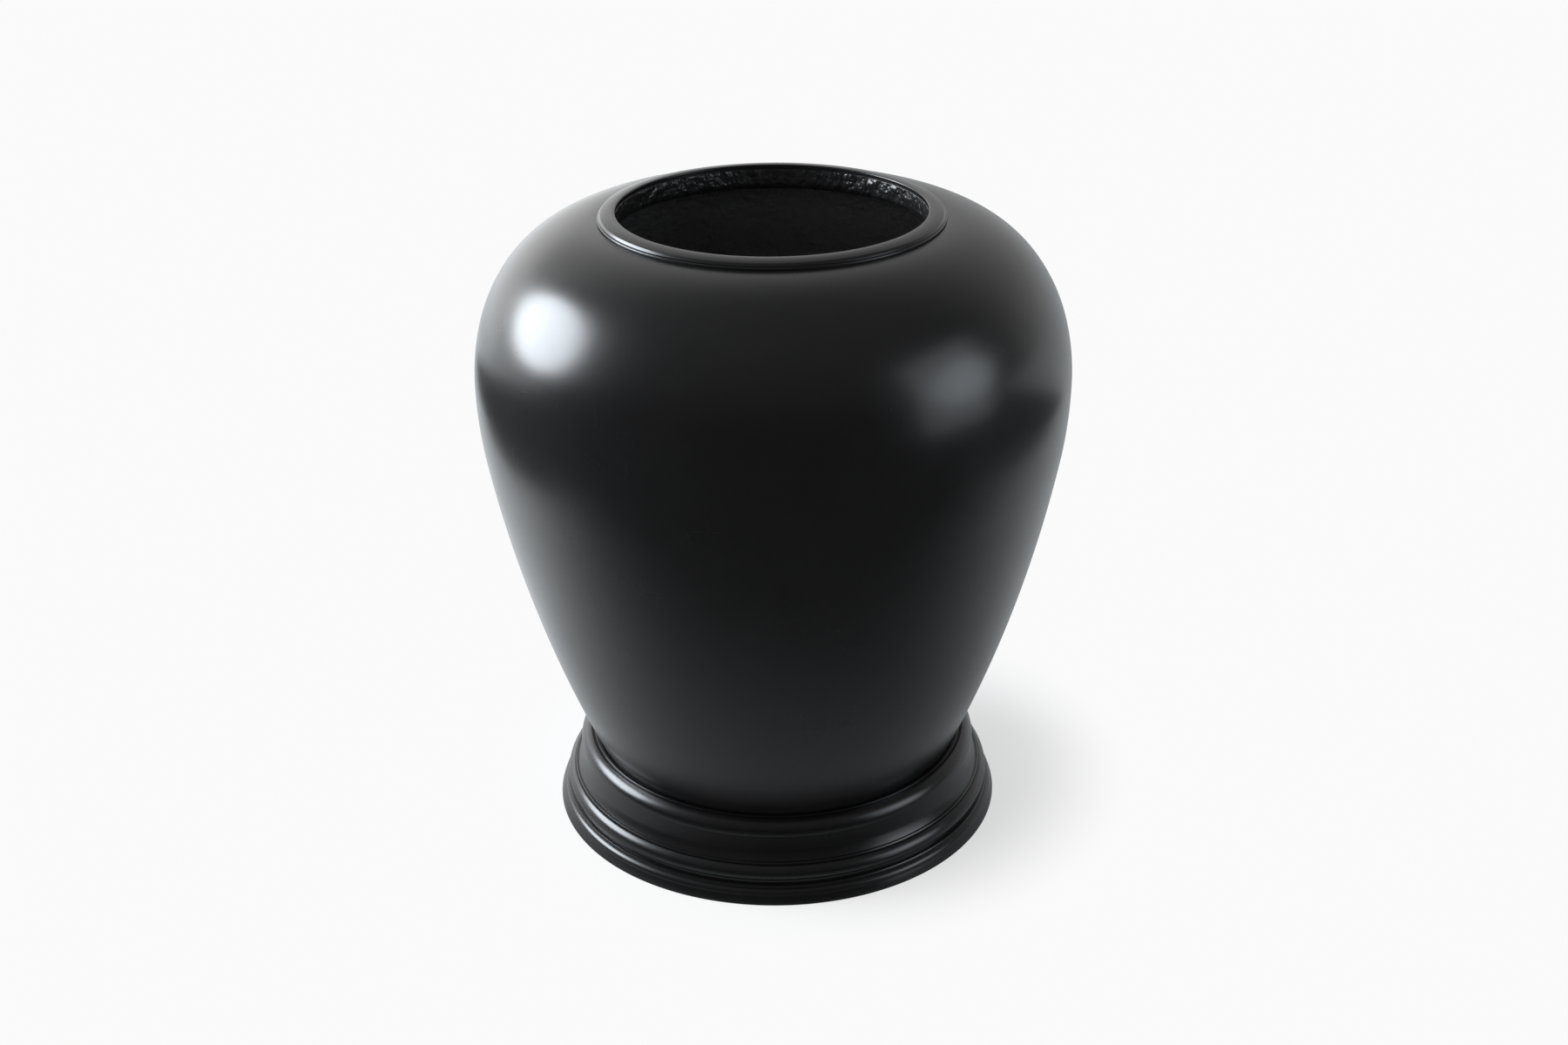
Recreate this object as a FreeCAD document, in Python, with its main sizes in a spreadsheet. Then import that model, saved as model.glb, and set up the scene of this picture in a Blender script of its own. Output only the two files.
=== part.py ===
import FreeCAD, Part
import Sketcher
import math
import os

# A wide-shouldered jar of fired clay, thrown in two sections that meet at the belly,
# with a turned moulded foot and a moulded mouth ring, each bedded on with slip.
# Every piece is a section, radius against height, turned about the jar's axis.
# The origin is the centre of the circle that the foot stands on, +Z is up.

# Driving sizes in millimetres, grouped by the piece that carries them. A share is
# the radius of a round member as a share of the member's height or run, or for the
# key its place across the wall.
sizes = {
    # the joint of the two thrown sections, a keyed ridge and groove with slip between
    "belly_radius": 205.3,
    "wall": 9.5,
    "lute": 1.0,
    "key_land": 2.6,
    "key_depth": 3.0,
    "key_place_share": 0.5,
    # lower section: spigot in the foot, floor, flank and the arc under the belly
    "flank_foot_radius": 132.4,
    "flank_rise": 280.3,
    "under_belly_arc": 303.0,
    "under_belly_drop": 50.8,
    "spigot_step": 3.4,
    "spigot_depth": 15.5,
    "floor_thickness": 12.0,
    "floor_fillet": 26.0,
    # upper section: arc over the belly, shoulder arc, crown and the collar at the mouth
    "over_belly_arc": 150.0,
    "over_belly_rise": 39.0,
    "shoulder_arc": 111.0,
    "shoulder_rise": 36.2,
    "crown_rise": 35.3,
    "mouth_radius": 105.0,
    "collar_thickness": 5.6,
    "collar_rise": 2.1,
    "throat_fillet": 3.0,
    # mouth ring, from the bead on the shoulder up to the crowned top
    "ring_lute": 0.6,
    "ring_skirt": 6.1,
    "bead_height": 1.3,
    "bead_round_share": 0.554,
    "ring_quirk_depth": 0.7,
    "ring_quirk_height": 0.5,
    "ring_setback": 1.1,
    "ring_round_rise": 1.9,
    "ring_round_run": 1.7,
    "ring_round_arc": 2.5,
    "ring_crown_rise": 1.13,
    "ring_mouth_fillet": 0.8,
    # foot, the heights of its members from the ground up
    "plinth_height": 6.5,
    "astragal_height": 3.8,
    "fine_quirk_height": 0.9,
    "band_height": 1.0,
    "scotia_height": 2.9,
    "torus_height": 10.55,
    "edge_quirk_height": 0.75,
    "edge_height": 0.9,
    "cavetto_height": 15.3,
    "roll_height": 11.6,
    "dip_rise": 0.3,
    "lip_height": 1.3,
    # foot, how far its members reach out, from the lip down to the ground
    "reveal": 2.9,
    "lip_width": 2.3,
    "dip_run": 2.8,
    "roll_lean": 2.7,
    "roll_overhang": 0.7,
    "cavetto_run": 8.9,
    "edge_top": 0.6,
    "edge_proud": 0.6,
    "edge_quirk_depth": 0.6,
    "torus_lean": 2.6,
    "scotia_run": 2.7,
    "band_top": 1.2,
    "band_setback": 0.2,
    "fine_quirk_depth": 1.0,
    "astragal_lean": 2.1,
    "astragal_ledge": 0.6,
    "plinth_lean": 2.9,
    # foot, the curves of its members
    "dip_round_share": 0.57,
    "roll_round_share": 0.569,
    "cavetto_arc": 45.0,
    "torus_round_share": 0.55,
    "scotia_round_share": 1.034,
    "astragal_round_share": 0.632,
    "plinth_arc": 14.0,
    "plinth_fillet": 0.8,
    "lip_fillet": 0.45,
    # foot, inside: rebate under the reveal, ledge that the spigot stands on, hollow
    "reveal_depth": 4.1,
    "ledge_width": 14.0,
    "ledge_thickness": 9.0,
    "hollow_step": 19.0,
    "foot_rim_width": 16.6,
    "foot_rim_fillet": 1.2,
    # how far the slip stays back from the open edges of its joints
    "lute_setback": 0.5,
}

doc = FreeCAD.newDocument("jar")
dims = doc.addObject("Spreadsheet::Sheet", "dims")
for row, (alias, value) in enumerate(sizes.items(), start=1):
    dims.set(f"A{row}", alias)
    dims.set(f"B{row}", str(value))
    dims.setAlias(f"B{row}", alias)
doc.recompute()


class Length:
    """A length of the section: its value now, and the formula that drives it."""

    def __init__(self, value, formula):
        self.value = value
        self.formula = formula

    def __add__(self, other):
        return Length(self.value + other.value, f"({self.formula} + {other.formula})")

    def __sub__(self, other):
        return Length(self.value - other.value, f"({self.formula} - {other.formula})")

    def __mul__(self, share):
        return Length(self.value * share.value, f"({self.formula} * {share.formula})")


def size(alias):
    return Length(float(dims.get(alias)), f"dims.{alias}")


def free(value):
    """A coordinate that the shape itself settles."""
    return Length(value, "")


zero = Length(0, "0")

# Heights of the foot's members, from the ground up
plinthTop = size("plinth_height")
astragalTop = plinthTop + size("astragal_height")
fineQuirkTop = astragalTop + size("fine_quirk_height")
bandTop = fineQuirkTop + size("band_height")
scotiaTop = bandTop + size("scotia_height")
torusTop = scotiaTop + size("torus_height")
edgeQuirkTop = torusTop + size("edge_quirk_height")
edgeTop = edgeQuirkTop + size("edge_height")
cavettoTop = edgeTop + size("cavetto_height")
rollTop = cavettoTop + size("roll_height")
dipTop = rollTop + size("dip_rise")
footTop = dipTop + size("lip_height")

# Radii of the foot's members, from the lip round the body out to the ground
flankFoot = size("flank_foot_radius")
revealRadius = flankFoot + size("reveal")
lipRadius = revealRadius + size("lip_width")
rollHead = lipRadius + size("dip_run")
rollFoot = rollHead + size("roll_lean")
cavettoHead = rollFoot - size("roll_overhang")
cavettoFoot = cavettoHead + size("cavetto_run")
edgeRadius = cavettoFoot + size("edge_top")
torusHead = edgeRadius - size("edge_proud")
torusFoot = torusHead + size("torus_lean")
scotiaFoot = torusFoot + size("scotia_run")
bandRadius = scotiaFoot + size("band_top")
astragalHead = bandRadius + size("band_setback")
astragalFoot = astragalHead + size("astragal_lean")
plinthHead = astragalFoot + size("astragal_ledge")
baseRadius = plinthHead + size("plinth_lean")
rimInner = baseRadius - size("foot_rim_width")

# The seat of the body in the foot: rebate, socket, and the ledge that bears it
rebateHeight = footTop - size("reveal_depth")
stepHeight = rebateHeight + size("lute")
spigotRadius = flankFoot - size("spigot_step")
socketRadius = spigotRadius + size("lute")
spigotFoot = stepHeight - size("spigot_depth")
ledgeHeight = spigotFoot - size("lute")
ledgeRadius = socketRadius - size("ledge_width")
ledgeUnderside = ledgeHeight - size("ledge_thickness")
hollowRadius = ledgeRadius + size("hollow_step")
floorHeight = spigotFoot + size("floor_thickness")

# The belly joint: the lower rim is grooved and the upper rim ridged, in mid wall
bellyOuter = size("belly_radius")
bellyInner = bellyOuter - size("wall")
outerLand = bellyOuter - size("key_land")
innerLand = bellyInner + size("key_land")
keyRadius = bellyOuter - size("wall") * size("key_place_share")
lowerLand = stepHeight + size("flank_rise")
upperLand = lowerLand + size("lute")

# The mouth: the shoulder's seat, the collar on it, and the ring that hooks over it
shoulderHeight = upperLand + size("over_belly_rise") + size("shoulder_rise") + size("crown_rise")
mouthRadius = size("mouth_radius")
collarRadius = mouthRadius + size("collar_thickness")
collarTop = shoulderHeight + size("collar_rise")
ringFoot = shoulderHeight + size("ring_lute")
ringRebate = collarRadius + size("ring_lute")
ringUnderside = collarTop + size("ring_lute")
beadRadius = ringRebate + size("ring_skirt")


def newBody(label):
    """An empty body in the jar's own frame."""
    body = doc.addObject("PartDesign::Body", label)
    body.Label = label
    body.Placement = FreeCAD.Placement()
    return body


def newSketch(body):
    """A sketch on the body's XZ plane: across is the radius, up is the height."""
    plane = next(item for item in body.Origin.OriginFeatures if item.Role == "XZ_Plane")
    sketch = body.newObject("Sketcher::SketchObject", f"{body.Label}_section")
    sketch.AttachmentSupport = [(plane, "")]
    sketch.MapMode = "FlatFace"
    return sketch


def join(sketch, kind, *places):
    sketch.addConstraint(Sketcher.Constraint(kind, *places))


def drive(sketch, kind, *places, length):
    """A constraint whose size follows the sheet."""
    index = sketch.addConstraint(Sketcher.Constraint(kind, *places, length.value))
    sketch.setExpression(f"Constraints[{index}]", length.formula)


def hold(sketch, place, kind, axisLine, length):
    """Ties one coordinate of a point to the sheet, or to the axis that it lies on."""
    if length is zero:
        join(sketch, "PointOnObject", *place, axisLine)
    elif length.formula:
        drive(sketch, kind, -1, 1, *place, length=length)


def vector(point):
    return FreeCAD.Vector(point[0], point[1], 0)


def arcBetween(start, end, radius, side):
    """The arc of a radius from start to end; side is 1 where it bulges to the right
    of the way and -1 where it bulges to the left."""
    run = (end[0] - start[0], end[1] - start[1])
    chord = math.hypot(*run)
    sagitta = radius - math.sqrt(radius**2 - (chord / 2)**2)
    across = (side * sagitta * run[1] / chord, -side * sagitta * run[0] / chord)
    middle = [(a + b) / 2 + c for a, b, c in zip(start, end, across)]
    return Part.Arc(vector(start), vector(middle), vector(end))


def arcFlowing(start, way, end):
    """The arc that leaves start in the direction way and ends at end."""
    run = (end[0] - start[0], end[1] - start[1])
    turn = math.atan2(way[0] * run[1] - way[1] * run[0], way[0] * run[0] + way[1] * run[1])
    bulge = math.tan(turn / 2) / 2
    middle = [(a + b) / 2 + c for a, b, c in zip(start, end, (bulge * run[1], -bulge * run[0]))]
    return Part.Arc(vector(start), vector(middle), vector(end))


def addEdge(sketch, curve, start):
    """Adds an edge and gives the places of its start and its end, as it is walked."""
    edge = sketch.addGeometry(curve)
    gaps = [sketch.getPoint(edge, place).distanceToPoint(vector(start)) for place in (1, 2)]
    return ((edge, 1), (edge, 2)) if gaps[0] < gaps[1] else ((edge, 2), (edge, 1))


def wayOut(sketch, end):
    """The direction in which the section leaves the end of an arc."""
    edge, place = end
    arc = sketch.Geometry[edge]
    spoke = sketch.getPoint(edge, place) - arc.Center
    turn = 1 if place == 2 else -1
    return (-turn * spoke.y / arc.Radius, turn * spoke.x / arc.Radius)


def outline(sketch, corners, first=None, last=None):
    """Draws the edges from corner to corner. A corner is a radius, a height and, where
    the edge that leaves it isn't straight, either (radius, side) of an arc or "flow" for
    an arc that carries on smoothly. It closes on itself, or runs between the ends first
    and last of curves that are there."""
    places = [(radius.value, height.value) for radius, height, *_ in corners]
    kinds = [corner[2] if len(corner) > 2 else None for corner in corners]
    if first:
        kinds.pop()
    starts = []
    ends = []
    for index, kind in enumerate(kinds):
        here = places[index]
        there = places[(index + 1) % len(places)]
        if kind is None:
            curve = Part.LineSegment(vector(here), vector(there))
        elif kind == "flow":
            curve = arcFlowing(here, wayOut(sketch, ends[-1]), there)
        else:
            curve = arcBetween(here, there, kind[0].value, kind[1])
        start, end = addEdge(sketch, curve, here)
        if kind not in (None, "flow"):
            drive(sketch, "Radius", start[0], length=kind[0])
        starts.append(start)
        ends.append(end)
    if first:
        join(sketch, "Coincident", *first, *starts[0])
        join(sketch, "Coincident", *ends[-1], *last)
        starts.append(last)
    else:
        join(sketch, "Coincident", *ends[-1], *starts[0])
    for index in range(1, len(kinds)):
        smooth = kinds[index] == "flow"
        join(sketch, "Tangent" if smooth else "Coincident", *ends[index - 1], *starts[index])
    for index, (radius, height, *_) in enumerate(corners):
        straight = index > 0 and kinds[index - 1] is None
        if straight and corners[index - 1][0].formula == radius.formula:
            join(sketch, "Vertical", ends[index - 1][0])
        else:
            hold(sketch, starts[index], "DistanceX", -2, radius)
        if straight and corners[index - 1][1].formula == height.formula:
            join(sketch, "Horizontal", ends[index - 1][0])
        else:
            hold(sketch, starts[index], "DistanceY", -1, height)


def thrownWall(sketch, land, up, arcs, seat, stop):
    """Draws the two faces of a thrown wall, the wall's thickness apart, from the belly
    up (1) or down (-1). Each arc has a radius and the height where it ends, and a last
    one flows on to the seat. The inner face ends where stop says, given the centre of
    its last arc and the place where that arc starts. Returns the outer and inner ends
    at the belly, then those at the far end."""
    wall = size("wall").value
    start = (bellyOuter.value, land.value)
    way = (0, up)
    outer = []
    inner = []
    for radius, height in arcs + [(None, seat[1])]:
        out = (up * way[1], -up * way[0])
        innerStart = (start[0] - wall * out[0], start[1] - wall * out[1])
        if radius is None:
            end = (seat[0].value, seat[1].value)
            curve = arcFlowing(start, way, end)
            innerEnd = stop(curve.toShape().Curve.Center, innerStart)
        else:
            reach = radius.value
            centre = (start[0] - reach * out[0], start[1] - reach * out[1])
            lift = height.value - centre[1]
            end = (centre[0] + math.sqrt(reach**2 - lift**2), height.value)
            curve = arcFlowing(start, way, end)
            innerEnd = [c + (e - c) * (reach - wall) / reach for c, e in zip(centre, end)]
        outer.append(addEdge(sketch, curve, start))
        inner.append(addEdge(sketch, arcFlowing(innerStart, way, innerEnd), innerStart))
        join(sketch, "Coincident", inner[-1][0][0], 3, outer[-1][0][0], 3)
        if radius is not None:
            drive(sketch, "Radius", outer[-1][0][0], length=radius)
            drive(sketch, "DistanceY", -1, 1, *outer[-1][1], length=height)
        start = end
        way = wayOut(sketch, outer[-1][1])
    for face in (outer, inner):
        for before, after in zip(face, face[1:]):
            join(sketch, "Tangent", *before[1], *after[0])
    join(sketch, "Horizontal", outer[0][0][0], 3, *outer[0][0])
    return outer[0][0], inner[0][0], outer[-1][1], inner[-1][1]


def turned(body, sketch):
    """The full turn of a section about the jar's axis."""
    feature = body.newObject("PartDesign::Revolution", f"{body.Label}_turned")
    feature.Profile = sketch
    feature.ReferenceAxis = (sketch, ["V_Axis"])
    feature.Angle = 360.0
    body.Tip = feature
    doc.recompute()
    return feature


def rounded(body, base, name, radius, rims):
    """Rounds the rims of a piece that lie nearest to these radii and heights."""
    edges = [(number, edge.Curve) for number, edge in enumerate(base.Shape.Edges, start=1)
             if isinstance(edge.Curve, Part.Circle)]
    names = []
    for rimRadius, rimHeight in rims:
        nearest = min(edges, key=lambda item: math.hypot(
            item[1].Radius - rimRadius.value, item[1].Center.z - rimHeight.value))
        names.append(f"Edge{nearest[0]}")
    feature = body.newObject("PartDesign::Fillet", f"{body.Label}_{name}")
    feature.Base = (base, names)
    feature.Radius = radius.value
    feature.setExpression("Radius", radius.formula)
    body.Tip = feature
    doc.recompute()
    return feature


def footRing():
    """The turned foot: plinth, astragal, band, scotia, torus, cavetto, roll and lip,
    hollow below, with the rebate, socket and ledge that take the body."""
    body = newBody("foot_ring")
    sketch = newSketch(body)
    fineQuirk = astragalHead - size("fine_quirk_depth")
    edgeQuirk = torusHead - size("edge_quirk_depth")
    astragalArc = size("astragal_height") * size("astragal_round_share")
    scotiaArc = size("scotia_height") * size("scotia_round_share")
    torusArc = size("torus_height") * size("torus_round_share")
    rollArc = size("roll_height") * size("roll_round_share")
    dipArc = size("dip_run") * size("dip_round_share")
    outline(sketch, [
        (rimInner, zero),
        (baseRadius, zero, (size("plinth_arc"), 1)),
        (plinthHead, plinthTop),
        (astragalFoot, plinthTop, (astragalArc, 1)),
        (astragalHead, astragalTop),
        (fineQuirk, astragalTop),
        (fineQuirk, fineQuirkTop),
        (bandRadius, fineQuirkTop),
        (bandRadius, bandTop),
        (scotiaFoot, bandTop, (scotiaArc, -1)),
        (torusFoot, scotiaTop, (torusArc, 1)),
        (torusHead, torusTop),
        (edgeQuirk, torusTop),
        (edgeQuirk, edgeQuirkTop),
        (edgeRadius, edgeQuirkTop),
        (edgeRadius, edgeTop),
        (cavettoFoot, edgeTop, (size("cavetto_arc"), -1)),
        (cavettoHead, cavettoTop),
        (rollFoot, cavettoTop, (rollArc, 1)),
        (rollHead, rollTop, (dipArc, -1)),
        (lipRadius, dipTop),
        (lipRadius, footTop),
        (revealRadius, footTop),
        (revealRadius, rebateHeight),
        (socketRadius, rebateHeight),
        (socketRadius, ledgeHeight),
        (ledgeRadius, ledgeHeight),
        (ledgeRadius, ledgeUnderside),
        (hollowRadius, ledgeUnderside),
    ])
    ring = turned(body, sketch)
    lip = [(lipRadius, footTop), (revealRadius, footTop)]
    ring = rounded(body, ring, "lip", size("lip_fillet"), lip)
    ring = rounded(body, ring, "plinth_edge", size("plinth_fillet"), [(baseRadius, zero)])
    rounded(body, ring, "rim_edge", size("foot_rim_fillet"), [(rimInner, zero)])
    return body


def footLute():
    """The slip that beds the spigot, on the ledge, up the socket and over the rebate."""
    body = newBody("foot_lute")
    sketch = newSketch(body)
    ledgeEdge = ledgeRadius + size("lute_setback")
    rebateEdge = flankFoot - size("lute_setback")
    outline(sketch, [
        (ledgeEdge, ledgeHeight),
        (socketRadius, ledgeHeight),
        (socketRadius, rebateHeight),
        (rebateEdge, rebateHeight),
        (rebateEdge, stepHeight),
        (spigotRadius, stepHeight),
        (spigotRadius, spigotFoot),
        (ledgeEdge, spigotFoot),
    ])
    turned(body, sketch)
    return body


def bellyRim(land):
    """The corners of a rim at the belly joint, from the outer face to the inner one."""
    key = land - size("key_depth")
    return [
        (bellyOuter, land),
        (outerLand, land),
        (keyRadius, key),
        (innerLand, land),
        (bellyInner, land),
    ]


def lowerBody():
    """The lower thrown section: spigot and floor, flank, arc under the belly, rim."""
    body = newBody("lower_body")
    sketch = newSketch(body)

    def floorEdge(centre, innerStart):
        """Where the inner face of the flank comes down to the floor."""
        radius = math.hypot(innerStart[0] - centre.x, innerStart[1] - centre.y)
        side = math.copysign(1, innerStart[0] - centre.x)
        drop = floorHeight.value - centre.y
        return (centre.x + side * math.sqrt(radius**2 - drop**2), floorHeight.value)

    arcs = [(size("under_belly_arc"), lowerLand - size("under_belly_drop"))]
    outerRim, innerRim, outerFoot, innerFoot = thrownWall(
        sketch, lowerLand, -1, arcs, (flankFoot, stepHeight), floorEdge)
    floorRadius = free(sketch.getPoint(*innerFoot).x)
    outline(sketch, bellyRim(lowerLand), outerRim, innerRim)
    outline(sketch, [
        (floorRadius, floorHeight),
        (zero, floorHeight),
        (zero, spigotFoot),
        (spigotRadius, spigotFoot),
        (spigotRadius, stepHeight),
        (flankFoot, stepHeight),
    ], innerFoot, outerFoot)
    bowl = turned(body, sketch)
    rounded(body, bowl, "floor_edge", size("floor_fillet"), [(floorRadius, floorHeight)])
    return body


def bellyLute():
    """The slip in the belly joint, between the grooved rim and the ridged one."""
    body = newBody("belly_lute")
    sketch = newSketch(body)
    outline(sketch, bellyRim(lowerLand) + bellyRim(upperLand)[::-1])
    turned(body, sketch)
    return body


def upperBody():
    """The upper thrown section: rim, arc over the belly, shoulder, crown and collar."""
    body = newBody("upper_body")
    sketch = newSketch(body)

    def throatEdge(centre, innerStart):
        """Where the inner face of the crown meets the bore of the mouth."""
        radius = math.hypot(innerStart[0] - centre.x, innerStart[1] - centre.y)
        run = mouthRadius.value - centre.x
        return (mouthRadius.value, centre.y + math.sqrt(radius**2 - run**2))

    bellyArcTop = upperLand + size("over_belly_rise")
    shoulderArcTop = bellyArcTop + size("shoulder_rise")
    arcs = [(size("over_belly_arc"), bellyArcTop), (size("shoulder_arc"), shoulderArcTop)]
    outerRim, innerRim, outerSeat, innerThroat = thrownWall(
        sketch, upperLand, 1, arcs, (beadRadius, shoulderHeight), throatEdge)
    throatHeight = free(sketch.getPoint(*innerThroat).y)
    outline(sketch, bellyRim(upperLand), outerRim, innerRim)
    outline(sketch, [
        (beadRadius, shoulderHeight),
        (collarRadius, shoulderHeight),
        (collarRadius, collarTop),
        (mouthRadius, collarTop),
        (mouthRadius, throatHeight),
    ], outerSeat, innerThroat)
    dome = turned(body, sketch)
    rounded(body, dome, "throat_edge", size("throat_fillet"), [(mouthRadius, throatHeight)])
    return body


def mouthRing():
    """The mouth ring: bead, quirk, rounded side and crowned top, hooked over the collar."""
    body = newBody("mouth_ring")
    sketch = newSketch(body)
    beadTop = ringFoot + size("bead_height")
    quirkTop = beadTop + size("ring_quirk_height")
    roundTop = quirkTop + size("ring_round_rise")
    ringTop = roundTop + size("ring_crown_rise")
    sideRadius = beadRadius - size("ring_setback")
    quirkRadius = sideRadius - size("ring_quirk_depth")
    crownEdge = sideRadius - size("ring_round_run")
    outline(sketch, [
        (ringRebate, ringFoot),
        (beadRadius, ringFoot, (size("bead_height") * size("bead_round_share"), 1)),
        (beadRadius, beadTop),
        (quirkRadius, beadTop),
        (quirkRadius, quirkTop),
        (sideRadius, quirkTop, (size("ring_round_arc"), 1)),
        (crownEdge, roundTop, "flow"),
        (mouthRadius, ringTop),
        (mouthRadius, ringUnderside),
        (ringRebate, ringUnderside),
    ])
    ring = turned(body, sketch)
    rounded(body, ring, "mouth_edge", size("ring_mouth_fillet"), [(mouthRadius, ringTop)])
    return body


def mouthLute():
    """The slip under the mouth ring, on the seat, up the collar and over its top."""
    body = newBody("mouth_lute")
    sketch = newSketch(body)
    seatEdge = beadRadius - size("lute_setback")
    mouthEdge = mouthRadius + size("lute_setback")
    outline(sketch, [
        (collarRadius, shoulderHeight),
        (seatEdge, shoulderHeight),
        (seatEdge, ringFoot),
        (ringRebate, ringFoot),
        (ringRebate, ringUnderside),
        (mouthEdge, ringUnderside),
        (mouthEdge, collarTop),
        (collarRadius, collarTop),
    ])
    turned(body, sketch)
    return body


pieces = [
    footRing(),
    footLute(),
    lowerBody(),
    bellyLute(),
    upperBody(),
    mouthLute(),
    mouthRing(),
]
doc.recompute()

for item in doc.Objects:
    if "Invalid" in item.State or "Error" in item.State:
        raise RuntimeError(f"{item.Name} can't be built: {item.State}")
for piece in pieces:
    if piece.Shape.isNull() or not piece.Shape.isValid():
        raise RuntimeError(f"{piece.Label} isn't a sound solid")

os.makedirs("parts", exist_ok=True)
for piece in pieces:
    piece.Shape.exportStep(os.path.join("parts", f"{piece.Label}.step"))
    print(piece.Label, "volume", round(piece.Shape.Volume), "cubic mm")
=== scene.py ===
import math

import bpy
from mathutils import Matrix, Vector


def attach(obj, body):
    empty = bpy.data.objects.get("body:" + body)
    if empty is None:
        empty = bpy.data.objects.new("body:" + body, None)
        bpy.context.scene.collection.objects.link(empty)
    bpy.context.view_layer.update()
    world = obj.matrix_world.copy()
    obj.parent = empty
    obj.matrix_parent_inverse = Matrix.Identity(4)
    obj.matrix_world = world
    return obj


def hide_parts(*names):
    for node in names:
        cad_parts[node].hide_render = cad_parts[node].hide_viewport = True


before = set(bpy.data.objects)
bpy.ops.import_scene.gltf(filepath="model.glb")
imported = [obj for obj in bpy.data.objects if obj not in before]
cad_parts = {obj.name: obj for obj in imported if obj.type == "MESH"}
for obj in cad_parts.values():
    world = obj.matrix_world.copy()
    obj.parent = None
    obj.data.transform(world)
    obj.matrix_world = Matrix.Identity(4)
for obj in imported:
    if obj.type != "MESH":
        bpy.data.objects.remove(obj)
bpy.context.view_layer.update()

# A lidless black jar of three turned sections: the glazed body, the moulded mouth ring
# and the moulded foot, with slip in the two joints that show. A section is drawn as
# radius and height in metres on the XZ plane, then spun about the jar's axis.

cornerReach = 0.00004  # a drawn point this near to a named corner is that corner
mergeDistance = 0.000008  # closes the turned section at its seam and on the axis
bevelSteps = 3
creaseAngle = math.radians(32)
nodeGrid = (220, 180)  # spacing of the nodes in the editor


def clearSelection():
    if bpy.context.object and bpy.context.object.mode != "OBJECT":
        bpy.ops.object.mode_set(mode="OBJECT")
    bpy.ops.object.select_all(action="DESELECT")


def startSection(name, place):
    clearSelection()
    bpy.ops.mesh.primitive_plane_add(size=0.01, location=(0, 0, 0))
    piece = bpy.context.object
    piece.name = name
    piece.data.name = name
    bpy.ops.object.mode_set(mode="EDIT")
    bpy.ops.mesh.select_mode(type="VERT")
    bpy.ops.mesh.select_all(action="SELECT")
    bpy.ops.mesh.merge(type="CENTER")  # the plane shrinks to the first point of the section
    bpy.ops.transform.translate(value=(place[0], 0, place[1]))
    return piece


def drawLine(here, there, steps=1):
    move = ((there[0] - here[0]) / steps, 0, (there[1] - here[1]) / steps)
    for _ in range(steps):
        bpy.ops.mesh.extrude_region_move(TRANSFORM_OT_translate={"value": move})
    return there


def drawArc(here, centre, there, steps):
    # the shorter way round the centre, spun from the last point drawn
    first = math.atan2(here[1] - centre[1], here[0] - centre[0])
    last = math.atan2(there[1] - centre[1], there[0] - centre[0])
    turn = (last - first + math.pi) % math.tau - math.pi
    bpy.ops.mesh.spin(steps=steps, angle=turn, center=(centre[0], 0, centre[1]), axis=(0, 1, 0))
    reach = math.dist(here, centre)
    return (centre[0] + reach * math.cos(last), centre[1] + reach * math.sin(last))


def drawSection(settings):
    piece = startSection(settings["name"], settings["start"])
    here = settings["start"]
    for kind, *places in settings["members"]:
        here = drawLine(here, *places) if kind == "line" else drawArc(here, *places)
    return piece


def softenArrises(piece, corners, width):
    # rounds the corners of the drawn section that lie at these radii and heights
    bpy.ops.object.mode_set(mode="OBJECT")
    for edge in piece.data.edges:
        edge.select = False
    for point in piece.data.vertices:
        place = (point.co.x, point.co.z)
        point.select = any(math.dist(place, corner) < cornerReach for corner in corners)
    bpy.ops.object.mode_set(mode="EDIT")
    bpy.ops.mesh.bevel(affect="VERTICES", offset=width, segments=bevelSteps)


def turnSection(piece, steps):
    bpy.ops.mesh.select_all(action="SELECT")
    bpy.ops.mesh.spin(steps=steps, angle=math.tau, center=(0, 0, 0), axis=(0, 0, 1))
    bpy.ops.mesh.select_all(action="SELECT")
    bpy.ops.mesh.remove_doubles(threshold=mergeDistance)
    bpy.ops.mesh.normals_make_consistent(inside=False)
    bpy.ops.object.mode_set(mode="OBJECT")
    bpy.ops.object.shade_smooth_by_angle(angle=creaseAngle)
    print(piece.name, len(piece.data.polygons), "faces")


def markArrises(piece, corners, reach):
    # an attribute that is 1 on the named arrises and fades to 0 within the reach
    mark = piece.data.attributes.new("arris", "FLOAT", "POINT")
    for index, point in enumerate(piece.data.vertices):
        place = (math.hypot(point.co.x, point.co.y), point.co.z)
        nearest = min(math.dist(place, corner) for corner in corners)
        mark.data[index].value = max(0.0, 1.0 - nearest / reach)


def makePiece(settings):
    # draws the section, rounds its arrises, turns it and gives it its materials
    piece = drawSection(settings)
    rounded = settings.get("arrises", [])
    for width, corners in rounded:
        softenArrises(piece, corners, width)
    turnSection(piece, settings["turns"])
    if rounded:
        allCorners = [corner for width, corners in rounded for corner in corners]
        markArrises(piece, allCorners, settings["arrisReach"])
    for name in settings["materials"]:
        piece.data.materials.append(materials[name])
    return piece


def facesTowards(face, place):
    return face.normal.dot(place - face.center) > 0


def paintWhere(piece, slotNumber, chosen):
    # gives the chosen faces another of the piece's materials
    clearSelection()
    bpy.context.view_layer.objects.active = piece
    piece.select_set(True)
    for part in (piece.data.vertices, piece.data.edges):
        for item in part:
            item.select = False
    for face in piece.data.polygons:
        face.select = chosen(face)
    bpy.ops.object.mode_set(mode="EDIT")
    bpy.ops.mesh.select_mode(type="FACE")
    piece.active_material_index = slotNumber
    bpy.ops.object.material_slot_assign()
    bpy.ops.object.mode_set(mode="OBJECT")


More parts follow.
